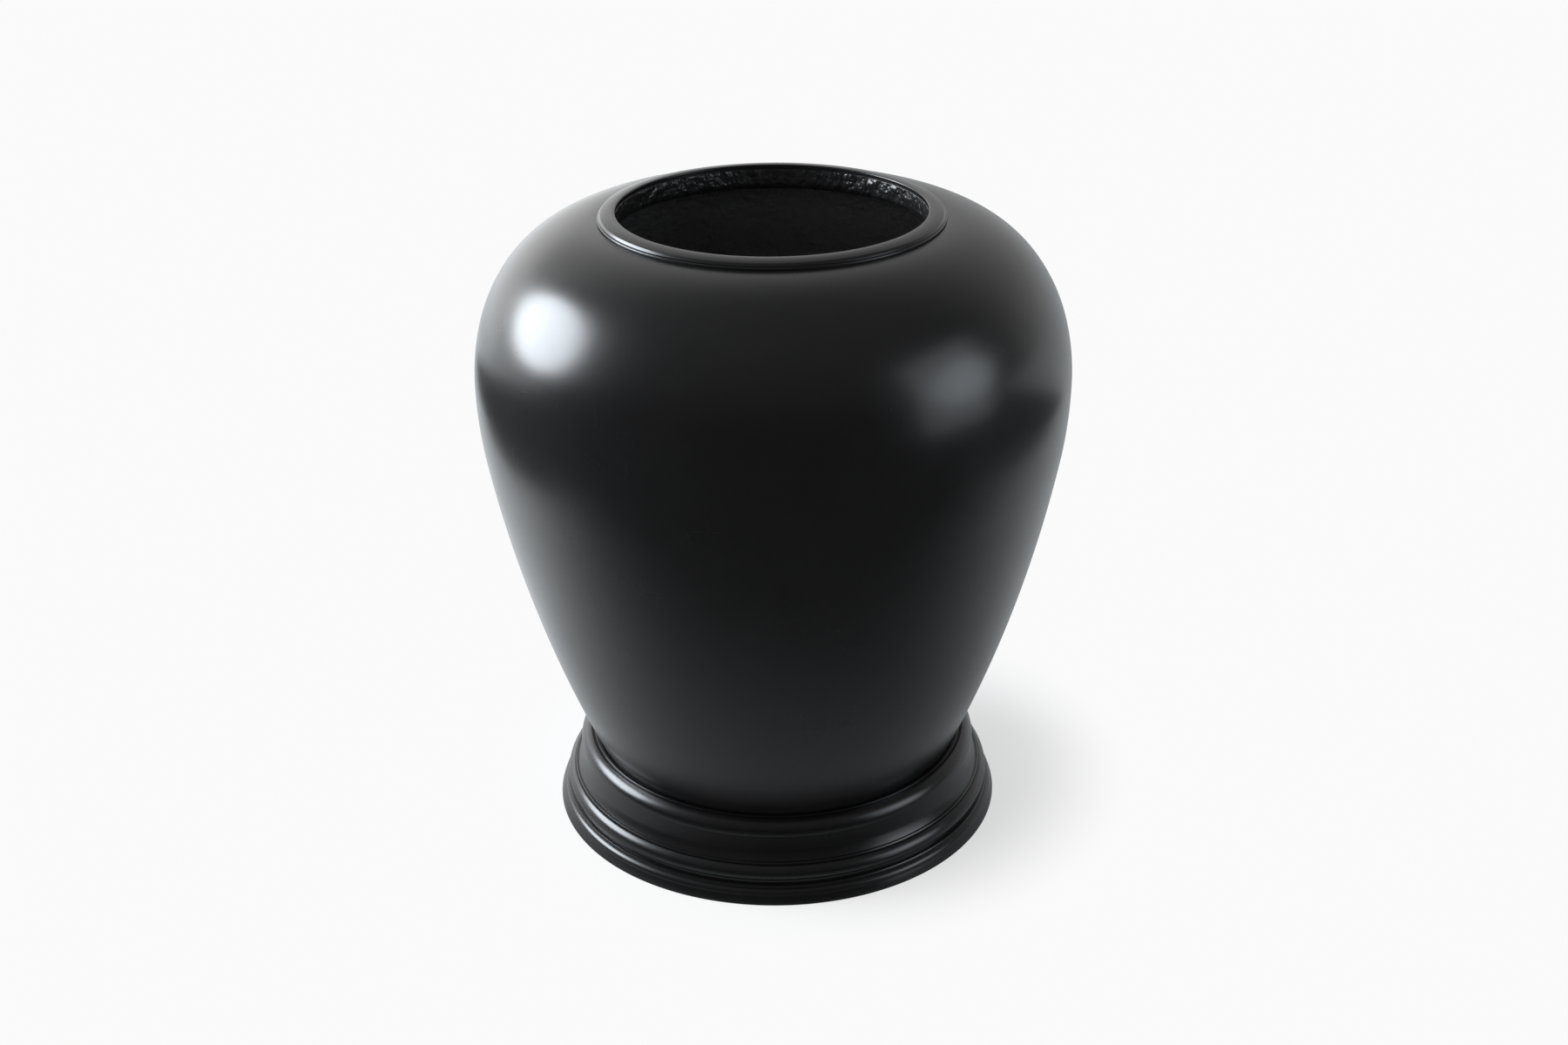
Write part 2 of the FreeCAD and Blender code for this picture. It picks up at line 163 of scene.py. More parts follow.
def addNode(tree, kind, column, row, inputs=None, **settings):
    made = tree.nodes.new(kind)
    made.location = (column * nodeGrid[0], -row * nodeGrid[1])
    for name, value in settings.items():
        setattr(made, name, value)
    for name, value in (inputs or {}).items():
        if isinstance(value, bpy.types.NodeSocket):
            tree.links.new(value, made.inputs[name])
        else:
            made.inputs[name].default_value = value
    return made


def fadeValue(tree, column, row, value, span, ends=(0.0, 1.0)):
    # a smooth step from the first end to the second while the value crosses the span
    return addNode(tree, "ShaderNodeMapRange", column, row, {
        "Value": value, "From Min": span[0], "From Max": span[1],
        "To Min": ends[0], "To Max": ends[1]}, interpolation_type="SMOOTHSTEP").outputs["Result"]


def newGroup(name, inputs, outputs):
    group = bpy.data.node_groups.new(name, "ShaderNodeTree")
    for label, kind, value in inputs:
        socket = group.interface.new_socket(name=label, in_out="INPUT", socket_type=kind)
        if value is not None:
            socket.default_value = value
    for label in outputs:
        group.interface.new_socket(name=label, in_out="OUTPUT", socket_type="NodeSocketFloat")
    return group, group.nodes.new("NodeGroupInput"), group.nodes.new("NodeGroupOutput")


def makeRippleGroup():
    # slow waver of a hand-finished wall, faint level throwing lines and fine orange peel
    group, given, out = newGroup("glazeRipple", [
        ("Place", "NodeSocketVector", None),
        ("Waver", "NodeSocketFloat", 1.0),
        ("Lines", "NodeSocketFloat", 1.0),
        ("Peel", "NodeSocketFloat", 1.0),
        ("Peel Scale", "NodeSocketFloat", 420.0),
    ], ["Height", "Mottle"])
    place = given.outputs["Place"]
    waver = addNode(group, "ShaderNodeTexNoise", 1, 0, {
        "Vector": place, "Scale": 14.0, "Detail": 2.0, "Roughness": 0.45})
    stretched = addNode(group, "ShaderNodeMapping", 0, 2, {
        "Vector": place, "Scale": (3.0, 3.0, 150.0)})
    lines = addNode(group, "ShaderNodeTexNoise", 1, 2, {
        "Vector": stretched.outputs["Vector"], "Scale": 1.0, "Detail": 1.0})
    peel = addNode(group, "ShaderNodeTexNoise", 1, 4, {
        "Vector": place, "Scale": given.outputs["Peel Scale"], "Detail": 2.0, "Roughness": 0.55})
    parts = []
    for row, (texture, amount) in enumerate([(waver, "Waver"), (lines, "Lines"), (peel, "Peel")]):
        parts.append(addNode(group, "ShaderNodeMath", 2, row * 2, {
            0: texture.outputs["Fac"], 1: given.outputs[amount]}, operation="MULTIPLY"))
    both = addNode(group, "ShaderNodeMath", 3, 0, {0: parts[0].outputs[0], 1: parts[1].outputs[0]})
    height = addNode(group, "ShaderNodeMath", 4, 0, {0: both.outputs[0], 1: parts[2].outputs[0]})
    mottle = addNode(group, "ShaderNodeTexNoise", 1, 6, {
        "Vector": place, "Scale": 38.0, "Detail": 5.0, "Roughness": 0.62})
    group.links.new(height.outputs[0], out.inputs["Height"])
    group.links.new(mottle.outputs["Fac"], out.inputs["Mottle"])
    return group


def makeSpeckGroup():
    # scattered round specks: a few cells of a Voronoi pattern carry one, of its own size
    group, given, out = newGroup("glazeSpecks", [
        ("Place", "NodeSocketVector", None),
        ("Scale", "NodeSocketFloat", 300.0),
        ("Share", "NodeSocketFloat", 0.03),
        ("Size", "NodeSocketFloat", 0.07),
    ], ["Mask"])
    cells = addNode(group, "ShaderNodeTexVoronoi", 1, 0, {
        "Vector": given.outputs["Place"], "Scale": given.outputs["Scale"]})
    chance = addNode(group, "ShaderNodeSeparateColor", 2, 1, {"Color": cells.outputs["Color"]})
    carries = addNode(group, "ShaderNodeMath", 3, 1, {
        0: chance.outputs["Red"], 1: given.outputs["Share"]}, operation="LESS_THAN")
    size = addNode(group, "ShaderNodeMath", 3, 2, {
        0: chance.outputs["Green"], 1: given.outputs["Size"]}, operation="MULTIPLY")
    inside = addNode(group, "ShaderNodeMath", 4, 0, {
        0: cells.outputs["Distance"], 1: size.outputs[0]}, operation="LESS_THAN")
    mask = addNode(group, "ShaderNodeMath", 5, 0, {
        0: inside.outputs[0], 1: carries.outputs[0]}, operation="MULTIPLY")
    group.links.new(mask.outputs[0], out.inputs["Mask"])
    return group


def makeHairlineGroup():
    # long thin rubs: the borders of stretched cells, kept only in patches
    group, given, out = newGroup("fineHairlines", [
        ("Place", "NodeSocketVector", None),
        ("Width", "NodeSocketFloat", 0.004),
        ("Cover", "NodeSocketFloat", 0.56),
    ], ["Mask"])
    bent = addNode(group, "ShaderNodeTexNoise", 0, 2, {
        "Vector": given.outputs["Place"], "Scale": 9.0, "Detail": 1.0})
    masks = []
    for row, stretch in enumerate([(9.0, 13.0, 34.0), (31.0, 27.0, 7.0)]):
        spread = addNode(group, "ShaderNodeMapping", 1, row * 2, {
            "Vector": given.outputs["Place"], "Scale": stretch,
            "Rotation": (0.35, 0.2, 0.6 + row)})
        drift = addNode(group, "ShaderNodeMix", 2, row * 2, {
            "Factor": 0.06, 4: spread.outputs["Vector"],
            5: bent.outputs["Color"]}, data_type="VECTOR")
        border = addNode(group, "ShaderNodeTexVoronoi", 3, row * 2, {
            "Vector": drift.outputs[1], "Scale": 1.0}, feature="DISTANCE_TO_EDGE")
        masks.append(addNode(group, "ShaderNodeMath", 4, row * 2, {
            0: border.outputs["Distance"], 1: given.outputs["Width"]}, operation="LESS_THAN"))
    patches = addNode(group, "ShaderNodeTexNoise", 3, 5, {
        "Vector": given.outputs["Place"], "Scale": 21.0, "Detail": 3.0})
    kept = addNode(group, "ShaderNodeMath", 4, 5, {
        0: patches.outputs["Fac"], 1: given.outputs["Cover"]}, operation="GREATER_THAN")
    either = addNode(group, "ShaderNodeMath", 5, 0, {
        0: masks[0].outputs[0], 1: masks[1].outputs[0]}, operation="MAXIMUM")
    mask = addNode(group, "ShaderNodeMath", 6, 0, {
        0: either.outputs[0], 1: kept.outputs[0]}, operation="MULTIPLY")
    group.links.new(mask.outputs[0], out.inputs["Mask"])
    return group


def makeWearGroup():
    # rubbed arrises: the arris mark broken up by noise
    group, given, out = newGroup("arrisWear", [
        ("Place", "NodeSocketVector", None),
        ("Arris", "NodeSocketFloat", 0.0),
        ("Amount", "NodeSocketFloat", 0.5),
    ], ["Mask"])
    chips = addNode(group, "ShaderNodeTexNoise", 1, 1, {
        "Vector": given.outputs["Place"], "Scale": 95.0, "Detail": 6.0, "Roughness": 0.7})
    level = addNode(group, "ShaderNodeMath", 2, 0, {
        0: given.outputs["Arris"], 1: chips.outputs["Fac"]}, operation="MULTIPLY")
    edge = addNode(group, "ShaderNodeMath", 2, 1, {
        0: 1.0, 1: given.outputs["Amount"]}, operation="SUBTRACT")
    mask = fadeValue(group, 3, 0, level.outputs[0], (edge.outputs[0], 1.0))
    group.links.new(mask, out.inputs["Mask"])
    return group


def makeRubGroup():
    # one straight rub between two places on the surface, soft at its borders
    group, given, out = newGroup("straightRub", [
        ("Place", "NodeSocketVector", None),
        ("Start", "NodeSocketVector", None),
        ("Way", "NodeSocketVector", None),
        ("Width", "NodeSocketFloat", 0.0003),
    ], ["Mask"])
    fromStart = addNode(group, "ShaderNodeVectorMath", 1, 0, {
        0: given.outputs["Place"], 1: given.outputs["Start"]}, operation="SUBTRACT")
    along = addNode(group, "ShaderNodeVectorMath", 2, 0, {
        0: fromStart.outputs["Vector"], 1: given.outputs["Way"]}, operation="DOT_PRODUCT")
    whole = addNode(group, "ShaderNodeVectorMath", 2, 1, {
        0: given.outputs["Way"], 1: given.outputs["Way"]}, operation="DOT_PRODUCT")
    share = addNode(group, "ShaderNodeMath", 3, 0, {
        0: along.outputs["Value"], 1: whole.outputs["Value"]}, operation="DIVIDE", use_clamp=True)
    nearest = addNode(group, "ShaderNodeVectorMath", 4, 0, {
        0: given.outputs["Way"], "Scale": share.outputs[0]}, operation="SCALE")
    away = addNode(group, "ShaderNodeVectorMath", 5, 0, {
        0: fromStart.outputs["Vector"], 1: nearest.outputs["Vector"]}, operation="DISTANCE")
    span = (0.0, given.outputs["Width"])
    mask = fadeValue(group, 6, 0, away.outputs["Value"], span, (1.0, 0.0))
    group.links.new(mask, out.inputs["Mask"])
    return group


glazeRipple = makeRippleGroup()
glazeSpecks = makeSpeckGroup()
fineHairlines = makeHairlineGroup()
arrisWear = makeWearGroup()
straightRub = makeRubGroup()


def newMaterial(name):
    material = bpy.data.materials.new(name)
    material.use_nodes = True
    tree = material.node_tree
    tree.nodes.clear()
    place = addNode(tree, "ShaderNodeTexCoord", 0, 0).outputs["Object"]
    out = addNode(tree, "ShaderNodeOutputMaterial", 9, 0)
    return material, tree, place, out


def useGroup(tree, group, column, row, inputs):
    return addNode(tree, "ShaderNodeGroup", column, row, inputs, node_tree=group)


def mixColours(tree, column, row, factor, first, second):
    return addNode(tree, "ShaderNodeMix", column, row, {
        "Factor": factor, 6: first, 7: second}, data_type="RGBA").outputs[2]


def addValues(tree, column, row, first, second, times):
    return addNode(tree, "ShaderNodeMath", column, row, {
        0: first, 1: times, 2: second}, operation="MULTIPLY_ADD").outputs[0]


def seenInGlaze(tree, column, row, rays):
    # 1 for the rays that show the surroundings in the glaze
    return addNode(tree, "ShaderNodeMath", column, row, {
        0: rays.outputs["Is Glossy Ray"],
        1: rays.outputs["Is Transmission Ray"]}, operation="MAXIMUM").outputs[0]


def makeGlaze(settings):
    material, tree, place, out = newMaterial(settings["name"])
    ripple = useGroup(tree, glazeRipple, 1, 0, {
        "Place": place, "Waver": settings["waver"], "Lines": settings["lines"],
        "Peel": settings["peel"], "Peel Scale": settings["peelScale"]})
    specks = useGroup(tree, glazeSpecks, 1, 2, {
        "Place": place, "Scale": settings["speckScale"], "Share": settings["speckShare"]})
    hairlines = useGroup(tree, fineHairlines, 1, 4, {
        "Place": place, "Cover": settings["hairlineCover"]})
    arris = addNode(tree, "ShaderNodeAttribute", 0, 5, attribute_name="arris")
    wear = useGroup(tree, arrisWear, 1, 5, {
        "Place": place, "Arris": arris.outputs["Fac"], "Amount": settings["wear"]})
    colour = mixColours(tree, 3, 0, ripple.outputs["Mottle"],
                        settings["deepColour"], settings["paleColour"])
    # painted light: below the collar the inner wall turns paler, palest just under it and less so
    # deeper down, where the hollow is in shade
    if "paintedLightColour" in settings:
        level = addNode(tree, "ShaderNodeSeparateXYZ", 1, -2, {0: place}).outputs["Z"]
        paintedLightShare = fadeValue(tree, 2, -2, level, settings["paintedLightHeights"])
        paintedLightFade = fadeValue(tree, 2, -3, level, settings["upperPaintedLightHeights"])
        paintedLight = mixColours(tree, 3, -2, paintedLightFade, settings["upperPaintedLightColour"], settings["paintedLightColour"])
        colour = mixColours(tree, 3, -1, paintedLightShare, colour, paintedLight)
    colour = mixColours(tree, 4, 0, wear.outputs["Mask"], colour, settings["rubbedColour"])
    # speck colour: real specks on the outer glazes, painted glints in the pale specks inside
    colour = mixColours(tree, 5, 0, specks.outputs["Mask"], colour, settings["speckAndGlintColour"])
    rough = addValues(tree, 3, 2, ripple.outputs["Mottle"],
                      settings["roughness"], settings["roughSpread"])
    rough = addValues(tree, 4, 2, hairlines.outputs["Mask"], rough, settings["hairlineRough"])
    rough = addValues(tree, 5, 2, wear.outputs["Mask"], rough, settings["wearRough"])
    for number, (start, end, width, change) in enumerate(settings["rubs"]):
        way = [there - here for here, there in zip(start, end)]
        rub = useGroup(tree, straightRub, 3, 6 + number, {
            "Place": place, "Start": start, "Way": way, "Width": width})
        rough = addValues(tree, 4 + number, 6, rub.outputs["Mask"], rough, change)
    height = addValues(tree, 4, 4, specks.outputs["Mask"],
                       ripple.outputs["Height"], settings["speckHeight"])
    bump = addNode(tree, "ShaderNodeBump", 6, 3, {
        "Height": height, "Strength": 1.0, "Distance": settings["bumpDistance"]})
    shader = addNode(tree, "ShaderNodeBsdfPrincipled", 7, 0, {
        "Base Color": colour, "Roughness": rough, "Normal": bump.outputs["Normal"],
        "IOR": settings["ior"]})
    tree.links.new(shader.outputs["BSDF"], out.inputs["Surface"])
    return material


# The satin black glaze, and what each surface changes in it
blackGlaze = {
    "deepColour": (0.0062, 0.0062, 0.0066, 1),
    "paleColour": (0.0085, 0.0085, 0.0088, 1),
    "rubbedColour": (0.016, 0.016, 0.016, 1),
    "speckAndGlintColour": (0.03, 0.03, 0.03, 1),
    "roughness": 0.235,
    "roughSpread": 0.05,
    "hairlineCover": 0.63,
    "hairlineRough": 0.028,
    "wear": 0.4,
    "wearRough": 0.08,
    "waver": 0.5,
    "lines": 0.05,
    "peel": 0.016,
    "peelScale": 420.0,
    "speckScale": 90.0,
    "speckShare": 0.012,
    "speckHeight": 0.05,
    "bumpDistance": 0.0004,
    "rubs": [],
    "ior": 1.6,
}
bodyGlaze = blackGlaze | {
    "name": "body_black_glaze",
    "rubs": [  # start, end, width and change of roughness
        ((0.0784, -0.1682, 0.4053), (0.1312, -0.1312, 0.4053), 0.0007, -0.05),
        ((0.0708, -0.173, 0.4033), (0.0704, -0.1859, 0.3776), 0.0007, 0.06),
        ((-0.1269, -0.1595, 0.3035), (-0.128, -0.1566, 0.2902), 0.0006, 0.09),
        ((-0.1681, -0.1177, 0.3276), (-0.1681, -0.1166, 0.3115), 0.0006, 0.09),
        ((-0.1357, -0.1468, 0.2762), (-0.1269, -0.1553, 0.2792), 0.0005, 0.08),
        ((-0.1732, -0.1061, 0.302), (-0.1682, -0.114, 0.2985), 0.0008, -0.09),
    ],
}
innerGlaze = blackGlaze | {
    "name": "lumpy_inner_glaze",
    # lighter than the body's glaze: painted light on the inner wall, which little light reaches
    "deepColour": (0.009, 0.009, 0.0095, 1),
    "paleColour": (0.013, 0.013, 0.0135, 1),
    # painted light inside the hollow below the collar: palest just under it, fading deeper down
    "paintedLightColour": (0.11, 0.11, 0.113, 1),
    "upperPaintedLightColour": (0.24, 0.24, 0.245, 1),
    "paintedLightHeights": (0.4303, 0.428),
    "upperPaintedLightHeights": (0.41, 0.36),
    # the pale specks inside are painted glints
    "speckAndGlintColour": (0.6, 0.6, 0.62, 1),
    "roughness": 0.3,
    "lines": 0.5,
    "peel": 2.4,
    "peelScale": 130.0,
    "speckScale": 170.0,
    "speckShare": 0.035,
    "speckHeight": 1.2,
    "bumpDistance": 0.0015,
}
ringGlaze = blackGlaze | {
    "name": "ring_black_glaze",
    "roughness": 0.24,
    "wear": 0.45,
    "waver": 0.2,
    "speckScale": 120.0,
}
footGlaze = blackGlaze | {
    "name": "foot_black_glaze",
    # darker than the body's glaze: painted shade on the foot
    "deepColour": (0.003, 0.003, 0.0032, 1),
    "paleColour": (0.0045, 0.0045, 0.0047, 1),
    "hairlineCover": 0.72,
    "roughness": 0.24,
    "wear": 0.1,
    "waver": 0.12,
    "peel": 0.009,
    "speckScale": 110.0,
}
bareClay = blackGlaze | {
    "name": "bare_dark_clay",
    "deepColour": (0.018, 0.016, 0.015, 1),
    "paleColour": (0.035, 0.031, 0.028, 1),
    "roughness": 0.75,
    "peel": 0.5,
    "peelScale": 900.0,
    "speckShare": 0.2,
}
slipClay = bareClay | {
    "name": "matt_dark_slip",
    "deepColour": (0.006, 0.006, 0.006, 1),
    "paleColour": (0.012, 0.011, 0.011, 1),
    "roughness": 0.6,
}
materials = {settings["name"]: makeGlaze(settings)
             for settings in (bodyGlaze, innerGlaze, ringGlaze, footGlaze, bareClay, slipClay)}
print("materials made:", ", ".join(materials))

# The glazed body, from the middle of its floor up the inner wall, over the collar, down
# the outer wall and under the spigot
body = {
    "name": "glazed_body",
    "slot": "body_glaze",
    "nodes": ("lower_body", "belly_lute", "upper_body"),
    "turns": 320,
    "start": (0.0, 0.0492),
    "members": [
        ("line", (0.10345, 0.0492), 6),
        ("arc", (0.10345, 0.0752), (0.127366, 0.065002), 8),
        ("arc", (-0.768814, 0.447132), (0.191646, 0.283793), 26),
        ("arc", (-0.0977, 0.333), (0.1958, 0.333), 7),
        ("line", (0.1958, 0.334), 1),
        ("arc", (0.0553, 0.334), (0.190968, 0.37053), 6),
        ("arc", (0.092959, 0.34414), (0.175196, 0.403632), 8),
        ("arc", (0.113634, 0.359097), (0.1175, 0.434981), 14),
        ("line", (0.116096, 0.432604), 1),
        ("arc", (0.1115, 0.4372), (0.105, 0.4372), 12),
        ("line", (0.105, 0.4466), 3),
        ("line", (0.1106, 0.4466), 1),
        ("line", (0.1106, 0.4445), 1),
        ("line", (0.1173, 0.4445), 2),
        ("arc", (0.113634, 0.359097), (0.182893, 0.4092), 26),
        ("arc", (0.092959, 0.34414), (0.200141, 0.373), 14),
        ("arc", (0.0553, 0.334), (0.2053, 0.334), 12),
        ("line", (0.2053, 0.333), 1),
        ("arc", (-0.0977, 0.333), (0.201011, 0.2822), 12),
        ("arc", (-0.768814, 0.447132), (0.1324, 0.0527), 46),
        ("line", (0.129, 0.0527), 1),
        ("line", (0.129, 0.0372), 2),
        ("line", (0.0, 0.0372), 6),
    ],
    "arrises": [(0.0004, [(0.105, 0.4466), (0.1106, 0.4466), (0.129, 0.0372)])],
    "arrisReach": 0.001,
    "materials": ("body_black_glaze", "lumpy_inner_glaze", "bare_dark_clay"),
    "hollowMiddle": (0, 0, 0.25),  # faces turned to this place are the inner wall
    "bareBelow": 0.0526,
}
bodyPiece = makePiece(body)
hollowMiddle = Vector(body["hollowMiddle"])
paintWhere(bodyPiece, 1, lambda face: facesTowards(face, hollowMiddle))
paintWhere(bodyPiece, 2, lambda face: face.center.z < body["bareBelow"]
           and not facesTowards(face, hollowMiddle))

# The mouth ring: bead, quirk, leaning side and crowned top, hooked over the collar
ring = {
    "name": "moulded_mouth_ring",
    "slot": "ring_glaze",
    "nodes": ("mouth_ring",),
    "turns": 320,
    "start": (0.1112, 0.4451),
    "members": [
        ("line", (0.1173, 0.4451), 2),
        ("arc", (0.11645, 0.4454), (0.116873, 0.446196), 10),
        ("line", (0.1161, 0.4464), 1),
        ("line", (0.1161, 0.4469), 1),
        ("line", (0.1163, 0.4469), 1),
        ("arc", (0.110063, 0.443722), (0.115346, 0.448314), 6),
        ("arc", (0.114365, 0.447461), (0.114788, 0.44869), 8),
        ("arc", (0.106771, 0.42432), (0.105, 0.449929), 14),
        ("line", (0.105, 0.4472), 3),
        ("line", (0.1112, 0.4472), 2),
        ("line", (0.1112, 0.4451), 1),
    ],
    "arrises": [(0.0008, [(0.105, 0.449929)])],
    "arrisReach": 0.0012,
    "materials": ("ring_black_glaze",),
}
ringPiece = makePiece(ring)

# The foot: plinth, small bead, torus, fillet, scotia, roll and lip, then down the socket
# and over the ledge to the hollow underneath
foot = {
    "name": "moulded_foot",
    "slot": "foot_glaze",
    "nodes": ("foot_ring",),
    "turns": 300,
    "start": (0.147, 0.0),
    "members": [
        ("line", (0.1636, 0.0), 3),
        ("arc", (0.12515, -0.01103), (0.1611, 0.0065), 8),
        ("arc", (0.15614, 0.00569), (0.1576, 0.01052), 14),
        ("line", (0.1575, 0.0108), 1),
        ("line", (0.1579, 0.0111), 1),
        ("arc", (0.154966, 0.010476), (0.157264, 0.012404), 6),
        ("line", (0.1563, 0.01255), 1),
        ("line", (0.155, 0.0129), 1),
        ("line", (0.155, 0.0151), 1),
        ("line", (0.15525, 0.015451), 1),
        ("arc", (0.15291, 0.01894), (0.156967, 0.020027), 12),
        ("arc", (0.14828, 0.0177), (0.1525, 0.02565), 16),
        ("line", (0.1513, 0.0256), 1),
        ("line", (0.1513, 0.0261), 1),
        ("line", (0.1519, 0.0261), 1),
        ("arc", (0.147232, 0.024308), (0.151172, 0.027386), 6),
        ("line", (0.1499, 0.0275), 1),
        ("arc", (0.178407, 0.04603), (0.1468, 0.0335), 14),
        ("arc", (0.222971, 0.057954), (0.144233, 0.0438), 9),
        ("line", (0.145237, 0.044004), 1),
        ("arc", (0.144204, 0.045946), (0.146399, 0.046099), 8),
        ("arc", (0.136024, 0.045374), (0.139068, 0.055319), 22),
        ("line", (0.1369, 0.0548), 1),
        ("line", (0.1369, 0.0557), 1),
        ("line", (0.1342, 0.0557), 1),
        ("line", (0.1342, 0.0517), 2),
        ("line", (0.13, 0.0517), 1),
        ("line", (0.13, 0.0362), 2),
        ("line", (0.116, 0.0362), 2),
        ("line", (0.116, 0.0272), 2),
        ("line", (0.135, 0.0272), 2),
        ("line", (0.147, 0.0), 5),
    ],
    "arrises": [
        (0.00022, [(0.1579, 0.0111), (0.1525, 0.02565), (0.1519, 0.0261)]),
        (0.0004, [(0.1369, 0.0557), (0.1342, 0.0557), (0.116, 0.0272), (0.116, 0.0362)]),
        (0.0008, [(0.1636, 0.0)]),
    ],
    "arrisReach": 0.001,
    "materials": ("foot_black_glaze", "bare_dark_clay"),
    "underMiddle": (0, 0, -0.02),  # low faces turned to this place are bare
    "bareBelow": 0.05,
    "bareWithin": 0.1625,
}
footPiece = makePiece(foot)
underMiddle = Vector(foot["underMiddle"])
paintWhere(footPiece, 1, lambda face: facesTowards(face, underMiddle)
           and face.center.z < foot["bareBelow"]
           and face.center.xy.length < foot["bareWithin"])

# The slip in the two joints that show, set back from their open edges
slips = [
    {
        "name": "slip_under_ring",
        "slot": "slip",
        "materials": ("matt_dark_slip",),
        "nodes": ("mouth_lute",),
        "turns": 240,
        "start": (0.1106, 0.4445),
        "members": [
            ("line", (0.1168, 0.4445), 3),
            ("line", (0.1168, 0.4451), 1),
            ("line", (0.1112, 0.4451), 3),
            ("line", (0.1112, 0.4472), 2),
            ("line", (0.1055, 0.4472), 3),
            ("line", (0.1055, 0.4466), 1),
            ("line", (0.1106, 0.4466), 3),
            ("line", (0.1106, 0.4445), 2),
        ],
    },
    {
        "name": "slip_round_spigot",
        "slot": "slip",
        "materials": ("matt_dark_slip",),
        "nodes": ("foot_lute",),
        "turns": 240,
        "start": (0.1165, 0.0362),
        "members": [
            ("line", (0.13, 0.0362), 3),
            ("line", (0.13, 0.0517), 3),
            ("line", (0.1319, 0.0517), 1),
            ("line", (0.1319, 0.0527), 1),
            ("line", (0.129, 0.0527), 2),
            ("line", (0.129, 0.0372), 3),
            ("line", (0.1165, 0.0372), 3),
            ("line", (0.1165, 0.0362), 1),
        ],
    },
]
slipPieces = [makePiece(slip) for slip in slips]

allPieces = [bodyPiece, ringPiece, footPiece] + slipPieces
for piece, settings in zip(allPieces, [body, ring, foot] + slips):
    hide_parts(*settings["nodes"])
    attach(piece, "root")
print("pieces ride on the root")

# A plain white floor. The eye sees it burned out to white, as in the photograph, but for
# the jar's shadow. In the glaze it is bright on the left, greyer on the right and dark in
# front.
# In the glaze the floor's brightness is painted: painted light on the left, brighter than white,
# and painted shade near the jar, on the right where the jar's shadow falls, and in front.
floor = {
    "reach": 60.0,
    "colour": (0.88, 0.88, 0.88, 1),
    "white": 0.957,
    "shadowMiddle": (0.03, 0.03, 0.0),
    "eyeFade": (0.15, 0.245),
    "eyeShareNear": 0.57,
    "glazeFade": (0.15, 0.4),
    "glazeNear": 0.72,
    "glazeColour": (0.955, 1.0, 1.03, 1),
    "left": 1.25,
    "glazeFront": 0.06,
    "frontFade": (-0.38, 0.18),
    "rightFront": 0.56,
    "rightBack": 0.69,
    "rightSpan": (0.0, 0.5),
    "acrossSpan": (-0.1, 0.25),
}


def makeFloorMaterial(settings):
    material, tree, place, out = newMaterial("white_studio_floor")
    grain = addNode(tree, "ShaderNodeTexNoise", 1, 4, {
        "Vector": place, "Scale": 700.0, "Detail": 3.0})
    bump = addNode(tree, "ShaderNodeBump", 2, 4, {
        "Height": grain.outputs["Fac"], "Strength": 0.15, "Distance": 0.0002})
    paper = addNode(tree, "ShaderNodeBsdfPrincipled", 5, 3, {
        "Base Color": settings["colour"], "Roughness": 0.8, "Specular IOR Level": 0.2,
        "Normal": bump.outputs["Normal"]})

    fromShadow = addNode(tree, "ShaderNodeVectorMath", 1, 0, {
        0: place, 1: settings["shadowMiddle"]}, operation="DISTANCE")
    fromJar = addNode(tree, "ShaderNodeVectorMath", 1, 1, {0: place}, operation="LENGTH")
    axes = addNode(tree, "ShaderNodeSeparateXYZ", 1, 2, {0: place})
    eyeShare = fadeValue(tree, 3, 0, fromShadow.outputs["Value"],
                         settings["eyeFade"], (settings["eyeShareNear"], 1.0))
    # the floor as the glaze sees it: painted light on the left, painted shade near the jar, on the
    # right and in front
    near = fadeValue(tree, 3, 1, fromJar.outputs["Value"],
                     settings["glazeFade"], (settings["glazeNear"], 1.0))
    front = fadeValue(tree, 3, 2, axes.outputs["Y"],
                      settings["frontFade"], (settings["glazeFront"], 1.0))
    right = fadeValue(tree, 3, 3, axes.outputs["Y"], settings["rightSpan"],
                      (settings["rightFront"], settings["rightBack"]))
    across = fadeValue(tree, 3, 4, axes.outputs["X"], settings["acrossSpan"],
                       (settings["left"], right))
    dim = addNode(tree, "ShaderNodeMath", 4, 1, {0: near, 1: front}, operation="MULTIPLY")
    glazed = addNode(tree, "ShaderNodeMath", 5, 1, {
        0: across, 1: dim.outputs[0]}, operation="MULTIPLY")
    rays = addNode(tree, "ShaderNodeLightPath", 2, -3)
    inGlaze = seenInGlaze(tree, 3, -2, rays)
    share = addValues(tree, 4, -2, rays.outputs["Is Camera Ray"], inGlaze, eyeShare)
    strength = addNode(tree, "ShaderNodeMix", 6, 1, {
        "Factor": rays.outputs["Is Camera Ray"], 2: glazed.outputs[0], 3: settings["white"]})
    tint = mixColours(tree, 6, 2, rays.outputs["Is Camera Ray"],
                      settings["glazeColour"], (1, 1, 1, 1))
    white = addNode(tree, "ShaderNodeEmission", 7, 1, {
        "Color": tint, "Strength": strength.outputs[0]})
    mix = addNode(tree, "ShaderNodeMixShader", 8, 0, {
        "Fac": share, 1: paper.outputs["BSDF"], 2: white.outputs["Emission"]})
    tree.links.new(mix.outputs["Shader"], out.inputs["Surface"])
    return material


clearSelection()
bpy.ops.mesh.primitive_circle_add(vertices=64, radius=floor["reach"], fill_type="NGON")
floorPiece = bpy.context.object
floorPiece.name = "studio_floor"
floorPiece.data.materials.append(makeFloorMaterial(floor))

